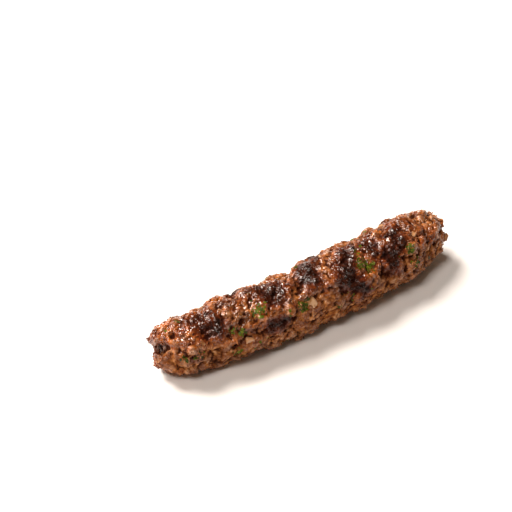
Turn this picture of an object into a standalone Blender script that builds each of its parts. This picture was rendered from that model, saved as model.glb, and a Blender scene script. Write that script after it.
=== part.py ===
"""Kofta kebab off its skewer: minced meat pressed by hand into a log and grilled.

The meat is squeezed round a flat skewer, so fingers leave a row of slanting grooves and the mince
swells into lumps between them.  When the skewer is pulled out it leaves a slit in one end and a
small pit in the other.  It is one piece of food, so it is one solid.  The log lies along X on a
flat strip of its underside, with the slit end at -X.  Angles round the log start at its front
(-Y) and rise over the top.  Sizes are in metres and angles in degrees.
"""

import math

import bmesh
import bpy
import numpy as np
from mathutils import Vector, noise

# The log without its grooves and lumps.
LENGTH = 0.1500
THICKNESS = 0.0298
BELLY_X = 0.018            # the log is thickest a little beyond its middle
TAPER = 0.14               # share of the thickness lost between the belly and an end
NEAR_END_REACH = 0.015     # how far from the -X tip that end rounds off
NEAR_END_BLUNTNESS = 2.3
FAR_END_REACH = 0.022
FAR_END_BLUNTNESS = 2.4
BEND = 0.0062              # how far the middle is pushed towards -Y
SAG = 0.75                 # share of its thinning that the log makes up by sinking to the plate
REST_DEPTH = 0.0016        # how far the underside is squashed flat

# One groove for each finger: place along X, lean towards +X over the top, angle where it is
# deepest, depth.
FINGER_GROOVES = (
    (-0.0560, 0.0030, 110.0, 0.0015),
    (-0.0350, -0.0020, 60.0, 0.0011),
    (-0.0200, -0.0010, 30.0, 0.0014),
    (-0.0040, -0.0050, 125.0, 0.0022),
    (0.0105, -0.0020, 90.0, 0.0012),
    (0.0300, 0.0010, 60.0, 0.0014),
    (0.0440, -0.0010, 200.0, 0.0013),
    (0.0590, 0.0020, 80.0, 0.0011),
)
GROOVE_HALF_WIDTH = 0.0042
GROOVE_LEAST = 0.35        # share of the depth left on the far side of the log

# Lumps of mince: size across and height of each layer.
LUMP_LAYERS = (
    (0.0125, 0.0017),
    (0.0070, 0.0011),
)
LUMP_EDGE = 0.45           # how far from its border a lump stops rising, in lump sizes
LUMP_SEED = Vector((3.7, 1.2, 8.4))

# The slit that the skewer left in the -X end, seen along X.
SLIT_HEIGHT = 0.0030       # above the middle of the log
SLIT_SLANT = -32.0         # it rises towards the front
SLIT_HALF_LENGTH = 0.0085
SLIT_HALF_WIDTH = 0.0020
SLIT_DEPTH = 0.0042
LIP_RISE = 0.0022          # the mince above the slit sticks out
LIP_OFFSET = 0.0050
LIP_HALF_WIDTH = 0.0036

# The pit in the +X end.
PIT_ANGLE = 20.0
PIT_OFF_AXIS = 0.0045
PIT_HALF_WIDTH = 0.0016
PIT_DEPTH = 0.0016

RINGS = 78
SEGMENTS = 60
PROFILE_SAMPLES = 1200     # points on the outline that the rings are spaced along


def end_share(distance, reach, bluntness):
    """Share of the full radius at a distance from the tip of a rounded end."""
    inward = 1.0 - min(distance / reach, 1.0)
    return (1.0 - inward ** bluntness) ** (1.0 / bluntness)


def belly_radius(x):
    """Radius of the log at x before its ends are rounded off."""
    along = (x - BELLY_X) / (LENGTH / 2.0)
    return THICKNESS / 2.0 * (1.0 - TAPER * along ** 2)


def plain_radius(x):
    """Radius of the log at x before grooves and lumps."""
    near = end_share(x + LENGTH / 2.0, NEAR_END_REACH, NEAR_END_BLUNTNESS)
    far = end_share(LENGTH / 2.0 - x, FAR_END_REACH, FAR_END_BLUNTNESS)
    return belly_radius(x) * near * far


def ring_stations():
    """Place and radius of every ring, evenly spaced along the outline from tip to tip."""
    turns = np.linspace(0.0, math.pi, PROFILE_SAMPLES)
    places = -LENGTH / 2.0 * np.cos(turns)
    radii = np.array([plain_radius(x) for x in places])
    steps = np.hypot(np.diff(places), np.diff(radii))
    travelled = np.concatenate(([0.0], np.cumsum(steps)))
    wanted = np.linspace(0.0, travelled[-1], RINGS + 2)
    return np.interp(wanted, travelled, places), np.interp(wanted, travelled, radii)


def groove_depth(x, angle):
    """Depth that the finger presses leave at a place on the log."""
    depth = 0.0
    for place, lean, deepest, most in FINGER_GROOVES:
        middle = place + lean * math.sin(angle)
        across = math.exp(-((x - middle) / GROOVE_HALF_WIDTH) ** 2)
        side = 0.5 + 0.5 * math.cos(angle - math.radians(deepest))
        depth += most * across * (GROOVE_LEAST + (1.0 - GROOVE_LEAST) * side)
    return depth


def lump_height(point):
    """Height of the lumps of mince at a point, with a crease where two lumps meet."""
    height = 0.0
    for size, rise in LUMP_LAYERS:
        distances, _ = noise.voronoi(point / size + LUMP_SEED)
        crease = min((distances[1] - distances[0]) / LUMP_EDGE, 1.0)
        height += rise * (math.sin(crease * math.pi / 2.0) - 0.5)
    return height


def slit_push(off_axis):
    """How far the -X end is pushed in along the skewer's slit."""
    slant = math.radians(SLIT_SLANT)
    y = off_axis.y
    z = off_axis.z - SLIT_HEIGHT
    along = y * math.cos(slant) + z * math.sin(slant)
    across = z * math.cos(slant) - y * math.sin(slant)
    inside = 1.0 - min(abs(along) / SLIT_HALF_LENGTH, 1.0) ** 4
    slit = SLIT_DEPTH * math.exp(-(across / SLIT_HALF_WIDTH) ** 2)
    lip = LIP_RISE * math.exp(-((across - LIP_OFFSET) / LIP_HALF_WIDTH) ** 2)
    return inside * (slit - lip)


def pit_push(off_axis):
    """How far the +X end is pushed in at the pit."""
    angle = math.radians(PIT_ANGLE)
    y = off_axis.y + PIT_OFF_AXIS * math.cos(angle)
    z = off_axis.z - PIT_OFF_AXIS * math.sin(angle)
    return PIT_DEPTH * math.exp(-(y ** 2 + z ** 2) / PIT_HALF_WIDTH ** 2)


def surface_point(x, radius, angle, outward_x):
    """Point of the finished surface above a place on the plain outline."""
    around = Vector((0.0, -math.cos(angle), math.sin(angle)))
    off_axis = around * radius
    plain = Vector((x, 0.0, 0.0)) + off_axis
    outward = around * math.sqrt(1.0 - outward_x ** 2)
    outward.x = outward_x
    fullness = min(radius / (THICKNESS / 4.0), 1.0)
    point = plain + outward * (lump_height(plain) - groove_depth(x, angle) * fullness)
    if outward_x < 0.0:
        point.x -= slit_push(off_axis) * outward_x
    else:
        point.x -= pit_push(off_axis) * outward_x
    point.y -= BEND * (1.0 - (2.0 * x / LENGTH) ** 2)
    point.z -= SAG * (THICKNESS / 2.0 - belly_radius(x))
    return point


def make_log():
    """The whole kofta as one closed mesh of rings between two tips."""
    places, radii = ring_stations()
    slopes = np.gradient(radii, places)
    leans = -slopes / np.hypot(slopes, 1.0)
    mesh = bmesh.new()
    near_tip = mesh.verts.new(surface_point(places[0], 0.0, 0.0, -1.0))
    rings = []
    for x, radius, lean in zip(places[1:-1], radii[1:-1], leans[1:-1]):
        angles = [2.0 * math.pi * step / SEGMENTS for step in range(SEGMENTS)]
        rings.append([mesh.verts.new(surface_point(x, radius, angle, lean)) for angle in angles])
    far_tip = mesh.verts.new(surface_point(places[-1], 0.0, 0.0, 1.0))
    for step in range(SEGMENTS):
        after = (step + 1) % SEGMENTS
        mesh.faces.new((near_tip, rings[0][step], rings[0][after]))
        for ring, following in zip(rings, rings[1:]):
            mesh.faces.new((ring[step], following[step], following[after], ring[after]))
        mesh.faces.new((far_tip, rings[-1][after], rings[-1][step]))
    bmesh.ops.recalc_face_normals(mesh, faces=mesh.faces)
    return mesh


def set_down(mesh):
    """Squash the underside flat and stand it on z = 0, centred over the origin."""
    lowest = min(vert.co.z for vert in mesh.verts) + REST_DEPTH
    for vert in mesh.verts:
        vert.co.z = max(vert.co.z, lowest) - lowest
    for axis in (0, 1):
        spread = [vert.co[axis] for vert in mesh.verts]
        middle = (min(spread) + max(spread)) / 2.0
        for vert in mesh.verts:
            vert.co[axis] -= middle


def browned_mince():
    """Grilled minced meat: a brown crust with a little gloss from its fat."""
    material = bpy.data.materials.new("grilled minced meat")
    material.use_nodes = True
    shader = material.node_tree.nodes["Principled BSDF"]
    shader.inputs["Base Color"].default_value = (0.19, 0.065, 0.025, 1.0)
    shader.inputs["Roughness"].default_value = 0.42
    shader.inputs["Metallic"].default_value = 0.0
    return material


for old in list(bpy.data.objects):
    bpy.data.objects.remove(old, do_unlink=True)

shape = make_log()
set_down(shape)
skin = bpy.data.meshes.new("kofta")
shape.to_mesh(skin)
shape.free()
skin.materials.append(browned_mince())
skin.shade_smooth()
kofta = bpy.data.objects.new("kofta", skin)
bpy.context.collection.objects.link(kofta)
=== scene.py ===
"""Looks of a grilled kofta kebab off its skewer: the light, then the mince, the onion and the parsley."""
import math

import bmesh
import bpy
import numpy as np
from mathutils import Matrix, Vector, noise
from mathutils.bvhtree import BVHTree
from mathutils.geometry import intersect_point_line
from mathutils.kdtree import KDTree


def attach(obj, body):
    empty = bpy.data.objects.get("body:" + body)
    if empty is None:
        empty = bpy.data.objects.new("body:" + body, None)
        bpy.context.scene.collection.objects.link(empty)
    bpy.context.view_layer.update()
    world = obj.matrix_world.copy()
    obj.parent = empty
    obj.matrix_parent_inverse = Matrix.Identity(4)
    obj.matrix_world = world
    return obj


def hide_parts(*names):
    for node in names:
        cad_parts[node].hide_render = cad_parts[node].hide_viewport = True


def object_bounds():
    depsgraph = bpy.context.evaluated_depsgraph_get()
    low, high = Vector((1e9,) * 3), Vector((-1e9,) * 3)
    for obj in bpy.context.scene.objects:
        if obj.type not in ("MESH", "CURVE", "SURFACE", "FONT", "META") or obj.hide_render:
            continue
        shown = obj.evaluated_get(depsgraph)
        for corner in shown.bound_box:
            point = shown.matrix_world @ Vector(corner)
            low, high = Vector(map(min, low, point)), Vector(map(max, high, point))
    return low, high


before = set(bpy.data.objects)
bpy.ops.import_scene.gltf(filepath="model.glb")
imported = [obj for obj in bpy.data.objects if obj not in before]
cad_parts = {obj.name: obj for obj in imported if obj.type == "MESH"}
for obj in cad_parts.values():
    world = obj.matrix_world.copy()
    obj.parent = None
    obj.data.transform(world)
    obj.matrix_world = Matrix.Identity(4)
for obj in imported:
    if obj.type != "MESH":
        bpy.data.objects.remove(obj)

cad_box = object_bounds()

# The studio: a camera above the kofta's front left, a white table, and a large soft window
# behind it to the left, with a pale room all round that fills the shaded front.
CAMERA_AZIMUTH = math.radians(-32.1)
CAMERA_ELEVATION = math.radians(42.0)
CAMERA_LENS = 70.0
FRAME_WIDTH = 0.2233           # what the frame spans at the kofta, in metres
KOFTA_RIGHT = 0.1035           # how far the kofta lies off the frame's middle, as shares of it
KOFTA_DOWN = 0.0660
TABLE_SIZE = 0.84
TABLE_HEX = "F5F5F5"
ROOM_HEX = "FFE2C4"
ROOM_STRENGTH = 0.105          # the dim warm room that the kofta sees; the camera sees a white one
WINDOW_HEX = "FFF4EA"
LIGHTS = (
    # name, where it stands and its size (m), power (W)
    ("window", Vector((-0.36, 0.72, 1.08)), 0.60, 38.0),
    ("ceiling panel", Vector((-0.60, -0.20, 1.05)), 0.35, 7.2),
)


def linear(hex_colour):
    """sRGB hex colour as the linear RGBA that Blender's sockets take."""
    shares = [int(hex_colour[i:i + 2], 16) / 255.0 for i in (0, 2, 4)]
    return [s / 12.92 if s <= 0.04045 else ((s + 0.055) / 1.055) ** 2.4 for s in shares] + [1.0]


def add_node(tree, kind, settings=None, inputs=None):
    """Add a node with its settings, and set or link its inputs by name or number."""
    made = tree.nodes.new(kind)
    for name, value in (settings or {}).items():
        setattr(made, name, value)
    for name, value in (inputs or {}).items():
        if isinstance(value, bpy.types.NodeSocket):
            tree.links.new(value, made.inputs[name])
        else:
            made.inputs[name].default_value = value
    return made


middle = (cad_box[0] + cad_box[1]) / 2.0
camera = bpy.data.objects.new("camera", bpy.data.cameras.new("camera"))
camera.data.lens = CAMERA_LENS
away = FRAME_WIDTH * CAMERA_LENS / camera.data.sensor_width
back = Vector((math.sin(CAMERA_AZIMUTH) * math.cos(CAMERA_ELEVATION),
               -math.cos(CAMERA_AZIMUTH) * math.cos(CAMERA_ELEVATION),
               math.sin(CAMERA_ELEVATION)))
right = Vector((math.cos(CAMERA_AZIMUTH), math.sin(CAMERA_AZIMUTH), 0.0))
up = back.cross(right)
camera.location = (middle + back * away
                   - right * KOFTA_RIGHT * FRAME_WIDTH + up * KOFTA_DOWN * FRAME_WIDTH)
camera.rotation_euler = back.to_track_quat("Z", "Y").to_euler()
bpy.context.scene.collection.objects.link(camera)
bpy.context.scene.camera = camera
bpy.context.scene.view_settings.view_transform = "Standard"

room = bpy.data.worlds.new("pale room")
room.use_nodes = True
seen = add_node(room.node_tree, "ShaderNodeLightPath").outputs["Is Camera Ray"]
strength = add_node(room.node_tree, "ShaderNodeMapRange", None, {
    "Value": seen, "To Min": ROOM_STRENGTH, "To Max": 1.0})
room_colour = add_node(room.node_tree, "ShaderNodeMix", {"data_type": "RGBA"}, {
    0: seen, 6: linear(ROOM_HEX), 7: linear("FFFFFF")})
room_light = room.node_tree.nodes["Background"]
room.node_tree.links.new(room_colour.outputs[2], room_light.inputs["Color"])
room.node_tree.links.new(strength.outputs["Result"], room_light.inputs["Strength"])
bpy.context.scene.world = room

for name, place, size, power in LIGHTS:
    lamp = bpy.data.objects.new(name, bpy.data.lights.new(name, "AREA"))
    lamp.data.size = size
    lamp.data.energy = power
    lamp.data.color = linear(WINDOW_HEX)[:3]
    lamp.location = place
    lamp.rotation_euler = place.to_track_quat("Z", "Y").to_euler()
    bpy.context.scene.collection.objects.link(lamp)

# White laminate table top: matt, so that it shows only a soft shadow.
white_laminate = bpy.data.materials.new("white laminate")
white_laminate.use_nodes = True
laminate_shader = white_laminate.node_tree.nodes["Principled BSDF"]
laminate_shader.inputs["Base Color"].default_value = linear(TABLE_HEX)
laminate_shader.inputs["Roughness"].default_value = 0.9
table_mesh = bpy.data.meshes.new("table")
half = TABLE_SIZE / 2.0
table_mesh.from_pydata([(-half, -half, 0), (half, -half, 0), (half, half, 0), (-half, half, 0)],
                       [], [(0, 1, 2, 3)])
table_mesh.materials.append(white_laminate)
table = bpy.data.objects.new("table", table_mesh)
bpy.context.scene.collection.objects.link(table)

# The mince: beef and lamb ground through a plate with 3 mm holes, kneaded with spice and pressed
# into a log.  Grilling shrinks it, so every grain and every chunk of grains stands proud of its
# neighbours, fused where they touch.
GRAIN_LAYERS = (
    # spacing, least and most half sizes (along, across, thick), how far the centres sink, seed
    (0.0078, (0.0024, 0.0020, 0.0016), (0.0042, 0.0030, 0.0023), 0.0010, 8),
    (0.0042, (0.0014, 0.0012, 0.0010), (0.0029, 0.0019, 0.0015), 0.0006, 11),
    (0.0018, (0.0008, 0.0006, 0.0004), (0.0017, 0.0010, 0.0007), 0.0002, 29),
)
GRAIN_TILT = 0.4               # how far a grain may tip either way, in radians
GRAIN_DETAIL = 3               # how often the ball that each grain starts from is subdivided
GRAIN_CROWDING = 1.2           # points tried for each spacing squared, before the spacing thins them
GRAIN_WRINKLES = (
    # size of the buckles in the grains, how far they push
    (0.0045, 0.0006),
    (0.0019, 0.00026),
)
WRINKLE_SEED = 2
CORE_SINK = 0.0007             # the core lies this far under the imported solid's surface
VOXEL = 0.00049                # a third of the smallest grain's length
MERGE_DISTANCE = 1e-6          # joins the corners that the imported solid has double
END_DEPTH = 0.004              # how much of the log's length counts as its end
TORN_SPLIT = ((7.0, -0.5), (-4.5, 6.5))        # the split in the near end, from end to end: y, z (mm)
TORN_REACH = 0.0022            # no grains grow this close to the split
TORN_LIMIT = -0.064            # nor does the split reach past this x
OUTSIDE = 0.1                  # a ray that starts at this x comes from outside the log
MISSED_STEP = 0.03             # how far in from there the nearest skin is sought if the ray misses
END_LUMPS = (
    # end (-1 near, 1 far), y and z from its middle (mm), half sizes across, up and along (mm), lean,
    # how far its middle stands out (mm), whether grains grow on it
    (-1.0, 8.4, 3.0, 1.9, 2.4, 1.2, 0.5, 0.2, 0.0),       # the lip over the split
    (-1.0, 5.2, -2.6, 1.4, 2.4, 1.0, 0.3, 0.0, 0.0),      # four torn strands
    (-1.0, 2.6, -1.6, 0.9, 3.2, 0.8, 0.35, 0.1, 0.0),
    (-1.0, 0.6, -2.6, 0.8, 3.0, 0.8, 0.15, -0.1, 0.0),
    (-1.0, -1.4, -0.6, 0.8, 2.8, 0.8, 0.5, 0.1, 0.0),
    (-1.0, -1.0, -6.3, 2.3, 1.8, 1.9, 0.2, 0.8, 0.0),     # the bead of juice-glazed mince at its foot
    (1.0, 3.0, 5.0, 3.2, 2.6, 2.4, 0.0, -0.2, 1.0),       # five chunks that fill out the far end
    (1.0, -2.5, 6.0, 2.8, 2.2, 2.2, 0.0, -0.4, 1.0),
    (1.0, 5.0, 0.5, 2.4, 2.8, 2.0, 0.0, -0.9, 1.0),
    (1.0, -6.0, 1.0, 2.2, 2.6, 1.8, 0.0, -0.6, 1.0),
    (1.0, 1.5, -4.5, 2.6, 2.0, 1.8, 0.0, -0.7, 1.0),
)

core_shape = bmesh.new()
core_shape.from_mesh(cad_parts["kofta"].data)
bmesh.ops.remove_doubles(core_shape, verts=core_shape.verts, dist=MERGE_DISTANCE)
core_shape.normal_update()
for vert in core_shape.verts:
    vert.co -= vert.normal * CORE_SINK
core_shape.normal_update()
core_points = np.array([vert.co[:] for vert in core_shape.verts])


def end_middle(end):
    """Middle of the near end (-1) or of the far end (1) of the log."""
    outward = core_points[:, 0] * end
    tip = core_points[outward > outward.max() - END_DEPTH]
    return (tip.min(axis=0) + tip.max(axis=0)) / 2.0


grows_grains = core_shape.verts.layers.float.new("grained")
_, near_y, near_z = end_middle(-1.0)
split_start, split_end = [Vector((near_y + y / 1000.0, near_z + z / 1000.0)) for y, z in TORN_SPLIT]
for vert in core_shape.verts:
    end_on = Vector((vert.co.y, vert.co.z))
    share = intersect_point_line(end_on, split_start, split_end)[1]
    nearest = split_start.lerp(split_end, min(max(share, 0.0), 1.0))
    in_split = vert.co.x < TORN_LIMIT and (end_on - nearest).length < TORN_REACH
    vert[grows_grains] = 0.0 if in_split else 1.0
core_surface = BVHTree.FromBMesh(core_shape)
for end, y, z, wide, tall, hollow_shade_share, lean, proud, with_grains in END_LUMPS:
    _, middle_y, middle_z = end_middle(end)
    start = Vector((end * OUTSIDE, middle_y + y / 1000.0, middle_z + z / 1000.0))
    touch = core_surface.ray_cast(start, Vector((-end, 0.0, 0.0)))[0]
    if touch is None:
        touch = core_surface.find_nearest(start - Vector((end * MISSED_STEP, 0.0, 0.0)))[0]
    place = Matrix.Translation(touch + Vector((end * proud / 1000.0, 0.0, 0.0)))
    size = Matrix.Diagonal((hollow_shade_share / 1000.0, wide / 1000.0, tall / 1000.0, 1.0))
    lump = bmesh.ops.create_icosphere(
        core_shape, subdivisions=GRAIN_DETAIL, radius=1.0,
        matrix=place @ Matrix.Rotation(lean, 4, "X") @ size)
    for vert in lump["verts"]:
        vert[grows_grains] = with_grains
core_mesh = bpy.data.meshes.new("mince core")
core_shape.to_mesh(core_mesh)
core_shape.free()

cooked_mince = bpy.data.materials.new("grilled mince")
cooked_mince.use_nodes = True

grains = bpy.data.node_groups.new("mince grains", "GeometryNodeTree")
grains.interface.new_socket("Core", in_out="INPUT", socket_type="NodeSocketGeometry")
tilt_input = grains.interface.new_socket("Tilt", in_out="INPUT", socket_type="NodeSocketFloat")
layer_inputs = []
for layer in range(len(GRAIN_LAYERS)):
    layer_inputs.append([
        grains.interface.new_socket(f"{name} {layer}", in_out="INPUT", socket_type=kind)
        for name, kind in (("Spacing", "NodeSocketFloat"), ("Least half sizes", "NodeSocketVector"),
                           ("Most half sizes", "NodeSocketVector"), ("Lift", "NodeSocketFloat"))])
grains.interface.new_socket("Mince", in_out="OUTPUT", socket_type="NodeSocketGeometry")
given = add_node(grains, "NodeGroupInput").outputs
grained = add_node(grains, "GeometryNodeInputNamedAttribute", {"data_type": "FLOAT"}, {"Name": "grained"})
ball = add_node(grains, "GeometryNodeMeshIcoSphere", None, {"Radius": 1.0, "Subdivisions": GRAIN_DETAIL})
turn_most = add_node(grains, "ShaderNodeCombineXYZ", None, {
    "X": given["Tilt"], "Y": given["Tilt"], "Z": math.pi})
turn_least = add_node(grains, "ShaderNodeVectorMath", {"operation": "SCALE"}, {
    0: turn_most.outputs["Vector"], "Scale": -1.0})
joined = add_node(grains, "GeometryNodeJoinGeometry")
grains.links.new(given["Core"], joined.inputs["Geometry"])
for layer, (spacing, _, _, _, seed) in enumerate(GRAIN_LAYERS):
    scatter = add_node(grains, "GeometryNodeDistributePointsOnFaces", {"distribute_method": "POISSON"}, {
        "Mesh": given["Core"], "Distance Min": given[f"Spacing {layer}"],
        "Density Max": GRAIN_CROWDING / spacing ** 2, "Density Factor": grained.outputs["Attribute"],
        "Seed": seed})
    lift = add_node(grains, "ShaderNodeVectorMath", {"operation": "SCALE"}, {
        0: scatter.outputs["Normal"], "Scale": given[f"Lift {layer}"]})
    lowered = add_node(grains, "GeometryNodeSetPosition", None, {
        "Geometry": scatter.outputs["Points"], "Offset": lift.outputs["Vector"]})
    size = add_node(grains, "FunctionNodeRandomValue", {"data_type": "FLOAT_VECTOR"}, {
        "Min": given[f"Least half sizes {layer}"], "Max": given[f"Most half sizes {layer}"],
        "Seed": seed + 1})
    spin = add_node(grains, "FunctionNodeRandomValue", {"data_type": "FLOAT_VECTOR"}, {
        "Min": turn_least.outputs["Vector"], "Max": turn_most.outputs["Vector"], "Seed": seed + 2})
    spin_turn = add_node(grains, "FunctionNodeEulerToRotation", None, {"Euler": spin.outputs["Value"]})
    turn = add_node(grains, "FunctionNodeRotateRotation", {"rotation_space": "LOCAL"}, {
        "Rotation": scatter.outputs["Rotation"], "Rotate By": spin_turn.outputs["Rotation"]})
    placed = add_node(grains, "GeometryNodeInstanceOnPoints", None, {
        "Points": lowered.outputs["Geometry"], "Instance": ball.outputs["Mesh"],
        "Rotation": turn.outputs["Rotation"], "Scale": size.outputs["Value"]})
    tone = add_node(grains, "FunctionNodeRandomValue", {"data_type": "FLOAT"}, {
        2: 0.0, 3: 1.0, "Seed": seed + 3})
    toned = add_node(grains, "GeometryNodeStoreNamedAttribute", {
        "data_type": "FLOAT", "domain": "INSTANCE"}, {
        "Geometry": placed.outputs["Instances"], "Name": "tone", "Value": tone.outputs[1]})
    real = add_node(grains, "GeometryNodeRealizeInstances", None, {"Geometry": toned.outputs["Geometry"]})
    grains.links.new(real.outputs["Geometry"], joined.inputs["Geometry"])
finished = add_node(grains, "GeometryNodeSetMaterial", None, {
    "Geometry": joined.outputs["Geometry"], "Material": cooked_mince})
add_node(grains, "NodeGroupOutput", None, {"Mince": finished.outputs["Geometry"]})

core = bpy.data.objects.new("mince core", core_mesh)
bpy.context.scene.collection.objects.link(core)
grow = core.modifiers.new("grains", "NODES")
grow.node_group = grains
grow[tilt_input.identifier] = GRAIN_TILT
for sockets, (spacing, least, most, sink, _) in zip(layer_inputs, GRAIN_LAYERS):
    for socket, value in zip(sockets, (spacing, least, most, -sink)):
        grow[socket.identifier] = value
loose = bpy.data.meshes.new_from_object(core.evaluated_get(bpy.context.evaluated_depsgraph_get()))
fuse = core.modifiers.new("fuse", "REMESH")
fuse.mode = "VOXEL"
fuse.voxel_size = VOXEL
mince = bpy.data.meshes.new_from_object(core.evaluated_get(bpy.context.evaluated_depsgraph_get()))
bpy.data.objects.remove(core)


def read_vectors(vectors):
    """A mesh's vertex positions or normals as rows of an array."""
    values = np.empty(len(vectors) * 3, np.float32)
    vectors.foreach_get("vector", values)
    return values.reshape(-1, 3).astype(float)


def press_flat(mesh, floor):
    """Press whatever reaches under the floor up to it, as the weight of the food does."""
    places = read_vectors(mesh.attributes["position"].data)
    places[:, 2] = np.maximum(places[:, 2], floor)
    mesh.attributes["position"].data.foreach_set("vector", places.astype(np.float32).ravel())
    mesh.update()
    return places


noise.seed_set(WRINKLE_SEED)
wrinkled = read_vectors(mince.attributes["position"].data)
for wrinkle_size, wrinkle_height in GRAIN_WRINKLES:
    wrinkled = np.array([Vector(p) + noise.noise_vector(Vector(p) / wrinkle_size) * wrinkle_height
                         for p in wrinkled])
mince.attributes["position"].data.foreach_set("vector", wrinkled.astype(np.float32).ravel())
points = press_flat(mince, 0.0)
normals = read_vectors(mince.vertex_normals)

# Where each point lies: along the log, and round it from the front over the top.
SPINE_STATIONS = 40            # places along the log where its middle is found
SLICE_HALF = 0.003             # half the length of log that each is found from
slices = np.linspace(core_points[:, 0].min(), core_points[:, 0].max(), SPINE_STATIONS)
spine = []
for place in slices:
    near = core_points[np.abs(core_points[:, 0] - place) < SLICE_HALF]
    spine.append((near.min(axis=0) + near.max(axis=0)) / 2.0)
spine = np.array(spine)
off_y = points[:, 1] - np.interp(points[:, 0], slices, spine[:, 1])
off_z = points[:, 2] - np.interp(points[:, 0], slices, spine[:, 2])
around = np.arctan2(off_z, -off_y)


FRACTAL_FADE = 0.9
FRACTAL_STEP = 2.1             # how much finer each octave is than the last


def fractal(size, octaves, shift):
    """Noise between about -1 and 1 at each point, in blotches of a size given in metres."""
    place = Vector((shift, 2.0 * shift, -shift))
    return np.array([noise.fractal(Vector(p) / size + place, FRACTAL_FADE, FRACTAL_STEP, octaves)
                     for p in points])


def step(low, high, values):
    """0 below low, 1 above high, and smooth between."""
    share = np.clip((values - low) / (high - low), 0.0, 1.0)
    return share * share * (3.0 - 2.0 * share)


edges = np.empty(len(mince.edges) * 2, np.int32)
mince.edges.foreach_get("vertices", edges)
starts, ends = edges[0::2], edges[1::2]
neighbours = np.bincount(starts, minlength=len(points)) + np.bincount(ends, minlength=len(points))


def sunk_below(passes):
    """How many metres each point lies under its smoothed surroundings; passes widen them."""
    smooth = points.copy()
    for _ in range(passes):
        for axis in range(3):
            column = smooth[:, axis]
            total = (np.bincount(starts, column[ends], len(points))
                     + np.bincount(ends, column[starts], len(points)))
            smooth[:, axis] = 0.5 * column + 0.5 * total / neighbours
    return ((smooth - points) * normals).sum(axis=1)


between_shreds = sunk_below(10)
between_grains = sunk_below(60)
between_lumps = sunk_below(160)

# Every point takes the tone of the loose grain that lies nearest to it.
TONE_STRIDE = 3                # only each third point of the loose grains is searched
tones = np.empty(len(loose.vertices), np.float32)
loose.attributes["tone"].data.foreach_get("value", tones)
loose_points = read_vectors(loose.attributes["position"].data)[::TONE_STRIDE]
finder = KDTree(len(loose_points))
for index, point in enumerate(loose_points):
    finder.insert(point, index)
finder.balance()
tone = np.array([tones[TONE_STRIDE * finder.find(point)[1]] for point in points])

# Char: the ridges that touched the grill bars.  Place along (mm), angle round, length along (mm),
# length round (mm), slant, strength.
CHAR_PATCHES = (
    (-54.0, 84.0, 14.0, 11.0, 0.0, 0.8),
    (-51.0, 58.0, 11.0, 12.0, 0.0, 1.0),
    (-24.0, 98.0, 13.0, 10.0, 0.0, 0.8),
    (-21.0, 78.0, 12.0, 13.0, 0.0, 0.9),
    (-24.5, 20.0, 12.0, 7.0, -0.3, 1.0),
    (-2.5, 84.0, 9.0, 17.0, 0.0, 1.0),
    (3.0, 103.0, 10.0, 9.0, 0.0, 0.7),
    (18.0, 92.0, 9.0, 12.0, 0.3, 0.9),
    (14.0, 60.0, 11.0, 19.0, 0.2, 1.0),
    (15.5, 28.0, 10.0, 12.0, -0.2, 1.0),
    (30.0, 85.0, 9.0, 15.0, 0.2, 0.9),
    (37.5, 42.0, 9.0, 13.0, 0.1, 1.0),
    (44.0, 78.0, 11.0, 18.0, 0.1, 0.9),
    (59.5, 52.0, 8.0, 8.0, 0.0, 0.4),
    (53.0, 100.0, 8.0, 8.0, 0.0, 0.45),
    (-40.0, 100.0, 9.0, 9.0, 0.0, 0.5),
    (-58.0, 165.0, 10.0, 12.0, 0.2, 0.8),
    (-34.0, 150.0, 9.0, 13.0, -0.2, 0.9),
    (-12.0, 158.0, 10.0, 10.0, 0.1, 0.9),
    (9.0, 148.0, 9.0, 14.0, 0.3, 0.8),
    (28.0, 172.0, 11.0, 11.0, -0.1, 1.0),
    (50.0, 158.0, 9.0, 12.0, 0.1, 0.8),
    (-46.0, 205.0, 11.0, 10.0, 0.1, 0.9),
    (-2.0, 208.0, 12.0, 12.0, -0.2, 0.9),
    (40.0, 215.0, 10.0, 11.0, 0.2, 0.8),
    (-57.0, 262.0, 10.0, 13.0, 0.0, 1.0),
    (-30.0, 255.0, 9.0, 15.0, 0.1, 1.0),
    (-8.0, 265.0, 10.0, 13.0, 0.0, 0.9),
    (15.0, 258.0, 9.0, 15.0, -0.1, 1.0),
    (38.0, 262.0, 10.0, 14.0, 0.1, 0.9),
    (60.0, 255.0, 8.0, 10.0, 0.0, 0.8),
)
CHAR_EDGE = (0.50, 1.12)       # from where to where char fades, in half lengths of its patch
SEAR_EDGE = (0.75, 1.75)       # and the dark red-brown round it
CHAR_RAGGEDNESS = 0.55         # how far its outline wanders, in the same measure
RADIUS = 0.0145                # of the log, which turns an angle round it into a length
END_SHADE_X = (0.0685, 0.0725)  # the near end's face is painted darker from here on, a painted shade
END_SHADE_SIDE = 0.004          # and less in front than at the back, fading over this much each way
GLAZED_SPOTS = (
    # y and z from the near end's middle (mm), reach (mm)
    (8.4, 3.0, 4.5),           # the lip
    (-1.2, -6.0, 3.0),         # the bead
)


def turned_from(angle):
    """How far round the log each point lies from an angle in degrees, between -pi and pi."""
    return (around - math.radians(angle) + math.pi) % math.tau - math.pi


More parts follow.
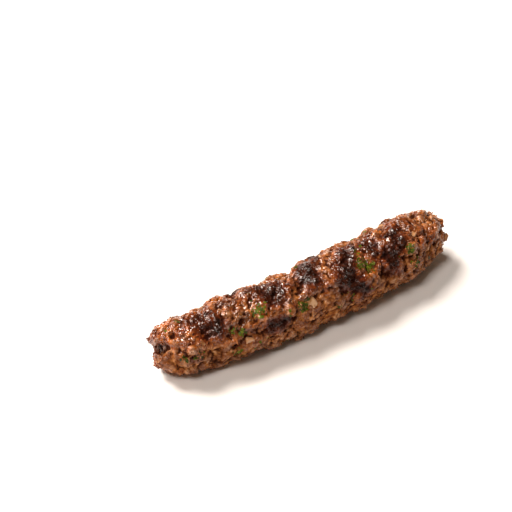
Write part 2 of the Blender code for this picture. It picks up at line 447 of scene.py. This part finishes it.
warp = fractal(0.005, 4, 5.0)
char = np.zeros(len(points))
seared = np.zeros(len(points))
for place, angle, along, round_it, slant, strength in CHAR_PATCHES:
    across = turned_from(angle) * RADIUS
    forward = points[:, 0] - place / 1000.0 - slant * across
    distance = np.hypot(forward / (along / 2000.0), across / (round_it / 2000.0))
    distance = distance + CHAR_RAGGEDNESS * warp
    char = np.maximum(char, strength * (1.0 - step(*CHAR_EDGE, distance)))
    seared = np.maximum(seared, strength * (1.0 - step(*SEAR_EDGE, distance)))
# Painted shade: the near end's face is painted a darker red-brown, more at its back than in front, and this
# joins the sear.
back = step(-END_SHADE_SIDE, END_SHADE_SIDE, points[:, 1] - near_y)
end_shade = step(*END_SHADE_X, -points[:, 0]) * (0.45 + 0.55 * back)
seared = np.maximum(seared, 0.8 * end_shade)
glaze = np.zeros(len(points))
for y, z, reach in GLAZED_SPOTS:
    spot = np.array(Vector((core_points[:, 0].min(), near_y + y / 1000.0, near_z + z / 1000.0)))
    away_from_it = np.linalg.norm(points - spot, axis=1)
    glaze = np.maximum(glaze, np.exp(-(away_from_it / (reach / 1000.0)) ** 2))

# Browning gathers where juice ran, on top, on ridges, in blotches and specks, and round the char; the
# painted shade on the near end's face darkens it too.
blotch = fractal(0.010, 3, 1.0)
speck = fractal(0.0016, 2, 9.0)
top = step(-0.3, 1.0, np.sin(around))
ridge = step(-0.0006, 0.0009, -between_lumps)
brown = 1.1 * glaze - 0.02 + 0.42 * top + 0.30 * ridge + 0.45 * blotch + 0.2 * speck + 0.35 * seared
brown = np.clip(brown, 0.0, 1.0)

# Hollows are painted darker, a painted shade with dried juice in them as well, and char stays off them.
hollow = 0.75 * step(0.00001, 0.00017, between_shreds) + 0.75 * step(0.00008, 0.00050, between_grains)
hollow = np.clip(hollow + 0.5 * step(0.0002, 0.0010, between_lumps), 0.0, 1.0)
char = char * (0.7 + 0.3 * step(-0.00010, 0.00008, -between_shreds))

# Fat gilds some spots and juice wets the browned ones.  Pale fat lies in specks, and the crests are
# painted paler as a painted highlight.  The meat drifts slowly between darker and lighter.
fat = step(0.15, 0.55, fractal(0.007, 3, 14.0)) * (1.0 - seared)
upward = 0.40 + 0.60 * step(0.35, 0.95, np.sin(around))
wet = step(0.0, 0.45, brown) * np.maximum(upward, glaze) * (1.0 - hollow) * (1.0 - 0.45 * char)
shade = fractal(0.0055, 3, 31.0)
# Painted highlight: the crests that stand above their surroundings are painted paler.
highlit_crest = step(0.00000, 0.00022, -between_shreds)
highlit_crest = highlit_crest * (0.35 + 0.65 * step(-0.3, 0.4, fractal(0.004, 2, 41.0)))
pale = np.maximum(0.7 * step(0.30, 0.65, fractal(0.0028, 2, 23.0)), highlit_crest)
pale = pale * (1.0 - seared) * (1.0 - 0.45 * brown)

clear = step(0.0004, 0.0012, points[:, 2])     # 0 where the mince lies on the table
for name, values in (("clear", clear), ("tone", tone), ("char", char), ("brown", brown),
                     ("hollow", hollow), ("fat", fat), ("pale", pale), ("wet", wet),
                     ("seared", seared), ("shade", shade)):
    layer = mince.attributes.get(name) or mince.attributes.new(name, "FLOAT", "POINT")
    layer.data.foreach_set("value", values.astype(np.float32))

# Grilled mince: ground meat with its own juice browned on it.  It shows grains of many browns with
# paler fat, a painted highlight on their crests, painted shade in the hollows and on the near end,
# black-brown char, and a wet shine that breaks up into small glints.
GRANULES_PER_MM = 0.7          # ground meat has granules of about 1.4 mm
MOTTLES_PER_MM = 0.42          # its mottling measures about 2.4 mm
RIPPLES_PER_MM = 0.9           # and its wet skin ripples every 1.1 mm
tree = cooked_mince.node_tree
shader = tree.nodes["Principled BSDF"]
spots = {name: add_node(tree, "ShaderNodeAttribute", {"attribute_name": name}).outputs["Fac"]
         for name in ("tone", "char", "brown", "hollow", "fat", "pale", "wet", "seared", "shade")}
where = add_node(tree, "ShaderNodeTexCoord").outputs["Object"]
COLOUR_MIX = {"data_type": "RGBA"}
granule = add_node(tree, "ShaderNodeTexVoronoi", None, {"Vector": where, "Scale": 1000.0 * GRANULES_PER_MM})
mottle = add_node(tree, "ShaderNodeTexNoise", None, {
    "Vector": where, "Scale": 1000.0 * MOTTLES_PER_MM, "Detail": 3.0, "Roughness": 0.6})
speckle = add_node(tree, "ShaderNodeMapRange", {"interpolation_type": "SMOOTHSTEP"}, {
    "Value": mottle.outputs["Fac"], "From Min": 0.36, "From Max": 0.66})

# Lean meat, from the darkest grains to the lightest, then the glaze of browned juice over it.
lean = add_node(tree, "ShaderNodeMix", COLOUR_MIX, {
    0: spots["tone"], 6: linear("844A20"), 7: linear("B47A44")})
glazed = add_node(tree, "ShaderNodeMix", COLOUR_MIX, {
    0: spots["tone"], 6: linear("7A340A"), 7: linear("C07028")})
brown_mask = add_node(tree, "ShaderNodeMapRange", {"interpolation_type": "SMOOTHSTEP"}, {
    "Value": spots["brown"], "From Min": 0.30, "From Max": 0.90})
flesh = add_node(tree, "ShaderNodeMix", COLOUR_MIX, {
    0: brown_mask.outputs["Result"], 6: lean.outputs[2], 7: glazed.outputs[2]})
gold_share = add_node(tree, "ShaderNodeMath", {"operation": "MULTIPLY"}, {0: spots["fat"], 1: 0.35})
golden = add_node(tree, "ShaderNodeMix", COLOUR_MIX, {
    0: gold_share.outputs["Value"], 6: flesh.outputs[2], 7: linear("C8822E")})
# The dark red-brown of sear round the char, and the painted shade on the near end's face.
sear_and_end_shade_share = add_node(tree, "ShaderNodeMath", {"operation": "MULTIPLY"}, {0: spots["seared"], 1: 0.85})
dark_red = add_node(tree, "ShaderNodeMix", COLOUR_MIX, {
    0: sear_and_end_shade_share.outputs["Value"], 6: golden.outputs[2], 7: linear("64240A")})
tide = add_node(tree, "ShaderNodeMapRange", None, {
    "Value": spots["shade"], "From Min": -0.6, "From Max": 0.6, "To Min": 0.80, "To Max": 1.24})
tided = add_node(tree, "ShaderNodeVectorMath", {"operation": "SCALE"}, {
    0: dark_red.outputs[2], "Scale": tide.outputs["Result"]})
# Pale fat in specks, and the painted highlight on the crests.
pale_share = add_node(tree, "ShaderNodeMath", {"operation": "MULTIPLY"}, {0: spots["pale"], 1: 0.75})
paled = add_node(tree, "ShaderNodeMix", COLOUR_MIX, {
    0: pale_share.outputs["Value"], 6: tided.outputs["Vector"], 7: linear("D2AE92")})
speckled = add_node(tree, "ShaderNodeMix", COLOUR_MIX, {
    0: speckle.outputs["Result"], 6: linear("B09482"), 7: linear("FFF4E8")})
crusted = add_node(tree, "ShaderNodeMix", {"data_type": "RGBA", "blend_type": "MULTIPLY"}, {
    0: 1.0, 6: paled.outputs[2], 7: speckled.outputs[2]})
# Painted shade: the hollows are painted a dark red-brown.
hollow_shade_share = add_node(tree, "ShaderNodeMath", {"operation": "MULTIPLY"}, {0: spots["hollow"], 1: 0.95})
shaded = add_node(tree, "ShaderNodeMix", COLOUR_MIX, {
    0: hollow_shade_share.outputs["Value"], 6: crusted.outputs[2], 7: linear("2E0D04")})
burnt = add_node(tree, "ShaderNodeMix", COLOUR_MIX, {
    0: speckle.outputs["Result"], 6: linear("150502"), 7: linear("34150A")})
final = add_node(tree, "ShaderNodeMix", COLOUR_MIX, {
    0: spots["char"], 6: shaded.outputs[2], 7: burnt.outputs[2]})
tree.links.new(final.outputs[2], shader.inputs["Base Color"])

# Juice and fat wet the browned top and dry off in the hollows and on the paler sides.
dry = add_node(tree, "ShaderNodeMapRange", None, {
    "Value": spots["brown"], "From Min": 0.2, "From Max": 0.9, "To Min": 0.58, "To Max": 0.36})
rough = add_node(tree, "ShaderNodeMath", {"operation": "MULTIPLY_ADD"}, {
    0: spots["hollow"], 1: 0.3, 2: dry.outputs["Result"]})
tree.links.new(rough.outputs["Value"], shader.inputs["Roughness"])
tree.links.new(spots["wet"], shader.inputs["Coat Weight"])
shader.inputs["Coat Roughness"].default_value = 0.09
shader.inputs["Coat IOR"].default_value = 1.65
shader.inputs["Specular IOR Level"].default_value = 0.06
ripple = add_node(tree, "ShaderNodeTexNoise", None, {
    "Vector": where, "Scale": 1000.0 * RIPPLES_PER_MM, "Detail": 1.0, "Roughness": 0.4})
relief = add_node(tree, "ShaderNodeMath", {"operation": "MULTIPLY_ADD"}, {
    0: granule.outputs["Distance"], 1: -0.5, 2: ripple.outputs["Fac"]})
bump = add_node(tree, "ShaderNodeBump", None, {
    "Strength": 1.0, "Distance": 0.00055, "Height": relief.outputs["Value"]})
tree.links.new(bump.outputs["Normal"], shader.inputs["Normal"])
tree.links.new(bump.outputs["Normal"], shader.inputs["Coat Normal"])

mince.name = "kofta_mince"
mince.materials.clear()
mince.materials.append(cooked_mince)
mince.shade_smooth()
kofta = bpy.data.objects.new("kofta_mince", mince)
bpy.context.scene.collection.objects.link(kofta)
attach(kofta, "root")
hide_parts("kofta")

# Crumbs: the finest shreds of mince that the heat has dried and curled up off the surface.
# They are the same meat, so each takes the browning of the spot it sits on.
CRUMBS_PER_MM2 = 0.34
CRUMB_LEAST = (0.00035, 0.00022, 0.00018)      # half sizes, in metres
CRUMB_MOST = (0.00150, 0.00042, 0.00036)
CRUMB_TILT = 0.6               # radians
CRUMB_CLEARANCE = 0.00002      # above the table, so that no two pieces share a flat

shredded = bpy.data.node_groups.new("crumbs of mince", "GeometryNodeTree")
shredded.interface.new_socket("Mince", in_out="INPUT", socket_type="NodeSocketGeometry")
density_input = shredded.interface.new_socket("Density", in_out="INPUT", socket_type="NodeSocketFloat")
least_input = shredded.interface.new_socket(
    "Least half sizes", in_out="INPUT", socket_type="NodeSocketVector")
most_input = shredded.interface.new_socket(
    "Most half sizes", in_out="INPUT", socket_type="NodeSocketVector")
tilt_input = shredded.interface.new_socket("Tilt", in_out="INPUT", socket_type="NodeSocketFloat")
shredded.interface.new_socket("Crumbs", in_out="OUTPUT", socket_type="NodeSocketGeometry")
given = add_node(shredded, "NodeGroupInput").outputs
off_table = add_node(shredded, "GeometryNodeInputNamedAttribute", {"data_type": "FLOAT"}, {"Name": "clear"})
density = add_node(shredded, "ShaderNodeMath", {"operation": "MULTIPLY"}, {
    0: given["Density"], 1: off_table.outputs["Attribute"]})
scatter = add_node(shredded, "GeometryNodeDistributePointsOnFaces", {"distribute_method": "RANDOM"}, {
    "Mesh": given["Mince"], "Density": density.outputs["Value"], "Seed": 61})
ball = add_node(shredded, "GeometryNodeMeshIcoSphere", None, {"Radius": 1.0, "Subdivisions": 1})
size = add_node(shredded, "FunctionNodeRandomValue", {"data_type": "FLOAT_VECTOR"}, {
    "Min": given["Least half sizes"], "Max": given["Most half sizes"], "Seed": 62})
turn_most = add_node(shredded, "ShaderNodeCombineXYZ", None, {
    "X": given["Tilt"], "Y": given["Tilt"], "Z": math.pi})
turn_least = add_node(shredded, "ShaderNodeVectorMath", {"operation": "SCALE"}, {
    0: turn_most.outputs["Vector"], "Scale": -1.0})
spin = add_node(shredded, "FunctionNodeRandomValue", {"data_type": "FLOAT_VECTOR"}, {
    "Min": turn_least.outputs["Vector"], "Max": turn_most.outputs["Vector"], "Seed": 63})
spin_turn = add_node(shredded, "FunctionNodeEulerToRotation", None, {"Euler": spin.outputs["Value"]})
turn = add_node(shredded, "FunctionNodeRotateRotation", {"rotation_space": "LOCAL"}, {
    "Rotation": scatter.outputs["Rotation"], "Rotate By": spin_turn.outputs["Rotation"]})
placed = add_node(shredded, "GeometryNodeInstanceOnPoints", None, {
    "Points": scatter.outputs["Points"], "Instance": ball.outputs["Mesh"],
    "Rotation": turn.outputs["Rotation"], "Scale": size.outputs["Value"]})
tone = add_node(shredded, "FunctionNodeRandomValue", {"data_type": "FLOAT"}, {2: 0.1, 3: 1.0, "Seed": 64})
toned = add_node(shredded, "GeometryNodeStoreNamedAttribute", {
    "data_type": "FLOAT", "domain": "INSTANCE"}, {
    "Geometry": placed.outputs["Instances"], "Name": "tone", "Value": tone.outputs[1]})
real = add_node(shredded, "GeometryNodeRealizeInstances", None, {"Geometry": toned.outputs["Geometry"]})
rounded = add_node(shredded, "GeometryNodeSetShadeSmooth", None, {"Geometry": real.outputs["Geometry"]})
finished = add_node(shredded, "GeometryNodeSetMaterial", None, {
    "Geometry": rounded.outputs["Geometry"], "Material": cooked_mince})
add_node(shredded, "NodeGroupOutput", None, {"Crumbs": finished.outputs["Geometry"]})

crumb_bed = bpy.data.objects.new("crumb bed", mince.copy())
bpy.context.scene.collection.objects.link(crumb_bed)
shred = crumb_bed.modifiers.new("crumbs of mince", "NODES")
shred.node_group = shredded
shred[density_input.identifier] = CRUMBS_PER_MM2 * 1e6
shred[least_input.identifier] = CRUMB_LEAST
shred[most_input.identifier] = CRUMB_MOST
shred[tilt_input.identifier] = CRUMB_TILT
crumb_mesh = bpy.data.meshes.new_from_object(crumb_bed.evaluated_get(bpy.context.evaluated_depsgraph_get()))
bpy.data.objects.remove(crumb_bed)
press_flat(crumb_mesh, CRUMB_CLEARANCE)
crumb_mesh.materials.clear()
crumb_mesh.materials.append(cooked_mince)
crumbs = bpy.data.objects.new("mince_crumbs", crumb_mesh)
bpy.context.scene.collection.objects.link(crumbs)
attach(crumbs, "root")

# The parsley: flat leaves chopped with a knife and kneaded in, so that scraps of leaf lie pressed
# into the surface in little heaps, with single flecks all round the log.
PARSLEY_HEAPS = (
    # place along (mm), angle round, how wide the heap is (mm), how thickly it lies
    (-30.0, 57.0, 5.0, 1.2),
    (-10.8, 31.0, 4.8, 1.5),
    (20.5, 61.0, 5.0, 1.2),
    (24.5, 48.0, 5.0, 1.1),
    (47.5, 41.0, 4.4, 1.1),
    (-40.0, 32.0, 3.2, 0.8),
    (-44.0, 42.0, 3.0, 0.5),
    (-60.0, 12.0, 3.4, 0.8),
    (-66.0, 18.0, 2.6, 0.7),
    (5.0, 3.0, 2.4, 0.6),
    (13.0, 4.0, 2.6, 0.8),
    (48.0, 10.0, 4.2, 0.9),
    (22.0, 85.0, 2.6, 0.5),
    (-62.0, 105.0, 2.4, 0.5),
    (-5.0, 118.0, 3.4, 0.9),
    (-44.0, -8.0, 3.0, 0.9),
    (-15.0, 175.0, 3.6, 0.9),
    (30.0, 160.0, 4.0, 1.0),
    (-48.0, 150.0, 3.2, 0.8),
    (55.0, 190.0, 3.0, 0.8),
    (5.0, 215.0, 3.4, 0.9),
    (-33.0, 230.0, 3.0, 0.8),
    (38.0, 250.0, 3.4, 0.9),
    (-60.0, 260.0, 2.8, 0.8),
    (12.0, 290.0, 3.0, 0.8),
    (-20.0, 320.0, 3.0, 0.7),
    (62.0, 330.0, 2.6, 0.8),
)
PARSLEY_PER_MM2 = 3.4          # scraps in a heap
HEAP_FALL_OFF = 1.6            # how fast a heap thins out towards its rim
FLECKS_PER_MM2 = 0.004         # single flecks between the heaps
SCRAP_LEAST = 0.0006           # half the length of a scrap, in metres
SCRAP_MOST = 0.0013
SCRAP_THICKNESS = 0.13         # of its middle, as a share of half its length
SCRAP_RIM = 0.4                # and of its rim, as a share of that
SCRAP_NARROWING = 0.8          # its width, as a share of its length
SCRAP_CURL = 0.30              # how far its sides curl up
SCRAP_DROOP = 0.3              # and how far it droops along its length, as a share of that
SCRAP_TILT = 0.45              # how far it may tip either way, in radians
SCRAP_CLEARANCE = 0.00003      # above the table, so that no two pieces share a flat
SCRAP_OUTLINES = (
    # how far the rim reaches from the middle, corner by corner
    (1.0, 0.55, 0.9, 0.5, 0.75, 0.6, 0.95, 0.45),
    (0.9, 0.7, 0.6, 0.8, 0.55, 0.7, 0.65),
    (1.0, 0.4, 0.6, 0.45, 0.9, 0.35, 0.5, 0.4),
)

thickly = np.full(len(points), FLECKS_PER_MM2)
for place, angle, wide, heap in PARSLEY_HEAPS:
    distance = np.hypot(points[:, 0] - place / 1000.0, turned_from(angle) * RADIUS)
    thickly += heap * PARSLEY_PER_MM2 * np.exp(-(distance / (wide / 2000.0)) ** 2 * HEAP_FALL_OFF)
parsley_bed = mince.copy()
parsley_bed.name = "parsley bed"
parsley_bed.attributes.new("parsley", "FLOAT", "POINT").data.foreach_set(
    "value", (thickly * clear * 1e6).astype(np.float32))

parsley_leaf = bpy.data.materials.new("cooked parsley leaf")
parsley_leaf.use_nodes = True

scraps = []
for kind, outline in enumerate(SCRAP_OUTLINES):
    scrap_shape = bmesh.new()
    rims = []
    for side in (1.0, -1.0):
        rim = []
        for corner, reach in enumerate(outline):
            turn = math.tau * corner / len(outline)
            x = reach * math.cos(turn)
            y = reach * SCRAP_NARROWING * math.sin(turn)
            z = SCRAP_CURL * (y * y - SCRAP_DROOP * x) + side * SCRAP_THICKNESS * SCRAP_RIM
            rim.append(scrap_shape.verts.new((x, y, z)))
        hub = scrap_shape.verts.new((0.0, 0.0, side * SCRAP_THICKNESS))
        for first, second in zip(rim, rim[1:] + rim[:1]):
            scrap_shape.faces.new((hub, first, second) if side > 0 else (hub, second, first))
        rims.append(rim)
    above, below = rims
    for corner in range(len(outline)):
        after = (corner + 1) % len(outline)
        scrap_shape.faces.new((above[corner], below[corner], below[after], above[after]))
    scrap_mesh = bpy.data.meshes.new(f"parsley scrap {kind}")
    scrap_shape.to_mesh(scrap_mesh)
    scrap_shape.free()
    scrap = bpy.data.objects.new(f"parsley scrap {kind}", scrap_mesh)
    bpy.context.scene.collection.objects.link(scrap)
    scraps.append(scrap)

strewn = bpy.data.node_groups.new("strewn parsley", "GeometryNodeTree")
strewn.interface.new_socket("Bed", in_out="INPUT", socket_type="NodeSocketGeometry")
least_input = strewn.interface.new_socket(
    "Least half length", in_out="INPUT", socket_type="NodeSocketFloat")
most_input = strewn.interface.new_socket(
    "Most half length", in_out="INPUT", socket_type="NodeSocketFloat")
tilt_input = strewn.interface.new_socket("Tilt", in_out="INPUT", socket_type="NodeSocketFloat")
strewn.interface.new_socket("Parsley", in_out="OUTPUT", socket_type="NodeSocketGeometry")
given = add_node(strewn, "NodeGroupInput").outputs
density = add_node(strewn, "GeometryNodeInputNamedAttribute", {"data_type": "FLOAT"}, {"Name": "parsley"})
scatter = add_node(strewn, "GeometryNodeDistributePointsOnFaces", {"distribute_method": "RANDOM"}, {
    "Mesh": given["Bed"], "Density": density.outputs["Attribute"], "Seed": 5})
kinds = add_node(strewn, "GeometryNodeJoinGeometry")
for scrap in scraps:
    kind = add_node(strewn, "GeometryNodeObjectInfo", None, {"Object": scrap, "As Instance": True})
    strewn.links.new(kind.outputs["Geometry"], kinds.inputs["Geometry"])
turn_most = add_node(strewn, "ShaderNodeCombineXYZ", None, {
    "X": given["Tilt"], "Y": given["Tilt"], "Z": math.pi})
turn_least = add_node(strewn, "ShaderNodeVectorMath", {"operation": "SCALE"}, {
    0: turn_most.outputs["Vector"], "Scale": -1.0})
spin = add_node(strewn, "FunctionNodeRandomValue", {"data_type": "FLOAT_VECTOR"}, {
    "Min": turn_least.outputs["Vector"], "Max": turn_most.outputs["Vector"], "Seed": 6})
spin_turn = add_node(strewn, "FunctionNodeEulerToRotation", None, {"Euler": spin.outputs["Value"]})
turn = add_node(strewn, "FunctionNodeRotateRotation", {"rotation_space": "LOCAL"}, {
    "Rotation": scatter.outputs["Rotation"], "Rotate By": spin_turn.outputs["Rotation"]})
size = add_node(strewn, "FunctionNodeRandomValue", {"data_type": "FLOAT"}, {
    2: given["Least half length"], 3: given["Most half length"], "Seed": 7})
placed = add_node(strewn, "GeometryNodeInstanceOnPoints", None, {
    "Points": scatter.outputs["Points"], "Instance": kinds.outputs["Geometry"], "Pick Instance": True,
    "Rotation": turn.outputs["Rotation"], "Scale": size.outputs[1]})
tone = add_node(strewn, "FunctionNodeRandomValue", {"data_type": "FLOAT"}, {2: 0.0, 3: 1.0, "Seed": 8})
toned = add_node(strewn, "GeometryNodeStoreNamedAttribute", {
    "data_type": "FLOAT", "domain": "INSTANCE"}, {
    "Geometry": placed.outputs["Instances"], "Name": "tone", "Value": tone.outputs[1]})
real = add_node(strewn, "GeometryNodeRealizeInstances", None, {"Geometry": toned.outputs["Geometry"]})
finished = add_node(strewn, "GeometryNodeSetMaterial", None, {
    "Geometry": real.outputs["Geometry"], "Material": parsley_leaf})
add_node(strewn, "NodeGroupOutput", None, {"Parsley": finished.outputs["Geometry"]})

bed = bpy.data.objects.new("parsley bed", parsley_bed)
bpy.context.scene.collection.objects.link(bed)
strew = bed.modifiers.new("strewn parsley", "NODES")
strew.node_group = strewn
strew[least_input.identifier] = SCRAP_LEAST
strew[most_input.identifier] = SCRAP_MOST
strew[tilt_input.identifier] = SCRAP_TILT
parsley_mesh = bpy.data.meshes.new_from_object(bed.evaluated_get(bpy.context.evaluated_depsgraph_get()))
for helper in [bed] + scraps:
    bpy.data.objects.remove(helper)
press_flat(parsley_mesh, SCRAP_CLEARANCE)
parsley_mesh.materials.clear()
parsley_mesh.materials.append(parsley_leaf)

# Cooked parsley leaf: limp and dark with an oily film, so it shows flat greens with a faint sheen.
tree = parsley_leaf.node_tree
shader = tree.nodes["Principled BSDF"]
tone = add_node(tree, "ShaderNodeAttribute", {"attribute_name": "tone"}).outputs["Fac"]
green = add_node(tree, "ShaderNodeMix", COLOUR_MIX, {0: tone, 6: linear("242C04"), 7: linear("5E6818")})
tree.links.new(green.outputs[2], shader.inputs["Base Color"])
shader.inputs["Roughness"].default_value = 0.45
shader.inputs["Specular IOR Level"].default_value = 0.12

parsley = bpy.data.objects.new("parsley", parsley_mesh)
bpy.context.scene.collection.objects.link(parsley)
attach(parsley, "root")

# The onion: diced small and kneaded in raw.  Grilling leaves each dice soft, glassy and yellowish,
# sunk in the mince with one face showing.
ONION_DICE = (
    # place along (mm), angle round, half sizes (mm), how far it is sunk (mm), turn, how browned
    (-7.0, 29.0, 2.6, 2.2, 1.3, 0.85, 0.3, 0.2),
    (-38.0, 8.0, 1.9, 1.4, 1.1, 1.0, 1.1, 0.7),
    (52.5, 66.0, 1.7, 1.4, 1.2, 0.9, 0.6, 0.5),
    (-58.0, 36.0, 1.8, 1.4, 1.0, 1.25, 2.0, 0.8),
    (8.0, 118.0, 1.8, 1.4, 1.1, 0.9, 1.4, 0.6),
    (-30.0, 145.0, 2.1, 1.5, 1.2, 1.0, 0.8, 0.4),
    (18.0, 180.0, 1.8, 1.6, 1.1, 0.9, 2.4, 0.6),
    (47.0, 150.0, 2.2, 1.6, 1.2, 1.0, 0.1, 0.3),
    (-52.0, 200.0, 1.8, 1.5, 1.1, 0.9, 1.7, 0.5),
    (-8.0, 240.0, 2.0, 1.5, 1.1, 0.9, 0.5, 0.4),
    (33.0, 305.0, 1.9, 1.4, 1.1, 0.9, 1.2, 0.6),
    (-45.0, 300.0, 1.8, 1.5, 1.1, 0.9, 2.8, 0.5),
)
ONION_ROUNDING = 0.45          # of a corner, as a share of each half size
ONION_BUCKLES_PER_METRE = 450  # each is about 2.2 mm long
ONION_BUCKLE = 0.00055         # how far a buckle pushes, in metres
ONION_CLEARANCE = 0.00004      # above the table, so that no two pieces share a flat
ONION_PROBE = 0.05             # from the log's middle, where the ray that finds its skin starts

noise.seed_set(WRINKLE_SEED)
surface = BVHTree.FromPolygons([tuple(p) for p in points], [tuple(f.vertices) for f in mince.polygons])
onion_shape = bmesh.new()
browned = onion_shape.verts.layers.float.new("browned")
for place, angle, long_half, wide_half, thick_half, sink, turn, browning in ONION_DICE:
    axis = Vector((place / 1000.0, np.interp(place / 1000.0, slices, spine[:, 1]),
                   np.interp(place / 1000.0, slices, spine[:, 2])))
    out = Vector((0.0, -math.cos(math.radians(angle)), math.sin(math.radians(angle))))
    touch = surface.ray_cast(axis + out * ONION_PROBE, -out)[0]
    dice = bmesh.ops.create_cube(onion_shape, size=2.0)["verts"]
    dice_edges = {edge for vert in dice for edge in vert.link_edges}
    rounded = bmesh.ops.bevel(
        onion_shape, geom=dice + list(dice_edges), offset=ONION_ROUNDING, segments=4,
        affect="EDGES", profile=0.6)
    seat = out.to_track_quat("Z", "X").to_matrix() @ Matrix.Rotation(turn, 3, "Z")
    for vert in {vert for face in rounded["faces"] for vert in face.verts}:
        local = Vector((vert.co.x * long_half, vert.co.y * wide_half, vert.co.z * thick_half)) / 1000.0
        spot = touch + seat @ local - out * sink / 1000.0
        vert.co = spot + noise.noise_vector(spot * ONION_BUCKLES_PER_METRE) * ONION_BUCKLE
        vert[browned] = browning
bmesh.ops.recalc_face_normals(onion_shape, faces=onion_shape.faces)
onion_mesh = bpy.data.meshes.new("onion")
onion_shape.to_mesh(onion_mesh)
onion_shape.free()
press_flat(onion_mesh, ONION_CLEARANCE)
onion_mesh.shade_smooth()

# Cooked onion: soft and half clear, with its juice caramelised on it.  It shows a blurred shine over
# a yellowish white that browns in blots.
SCORCHES_PER_MM = 0.38         # each brown blot measures about 2.6 mm
cooked_onion = bpy.data.materials.new("cooked onion")
cooked_onion.use_nodes = True
tree = cooked_onion.node_tree
shader = tree.nodes["Principled BSDF"]
where = add_node(tree, "ShaderNodeTexCoord").outputs["Object"]
scorch = add_node(tree, "ShaderNodeTexNoise", None, {
    "Vector": where, "Scale": 1000.0 * SCORCHES_PER_MM, "Detail": 2.0})
scorched = add_node(tree, "ShaderNodeMapRange", {"interpolation_type": "SMOOTHSTEP"}, {
    "Value": scorch.outputs["Fac"], "From Min": 0.45, "From Max": 0.7})
browning = add_node(tree, "ShaderNodeAttribute", {"attribute_name": "browned"}).outputs["Fac"]
glassy = add_node(tree, "ShaderNodeMix", COLOUR_MIX, {
    0: browning, 6: linear("E0B68E"), 7: linear("A46C3C")})
burnished = add_node(tree, "ShaderNodeMix", COLOUR_MIX, {
    0: browning, 6: linear("B47A40"), 7: linear("7A3E18")})
onion_colour = add_node(tree, "ShaderNodeMix", COLOUR_MIX, {
    0: scorched.outputs["Result"], 6: glassy.outputs[2], 7: burnished.outputs[2]})
tree.links.new(onion_colour.outputs[2], shader.inputs["Base Color"])
shader.inputs["Roughness"].default_value = 0.35
shader.inputs["Coat Weight"].default_value = 0.3
shader.inputs["Coat Roughness"].default_value = 0.25
onion_mesh.materials.append(cooked_onion)
onion = bpy.data.objects.new("onion", onion_mesh)
bpy.context.scene.collection.objects.link(onion)
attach(onion, "root")
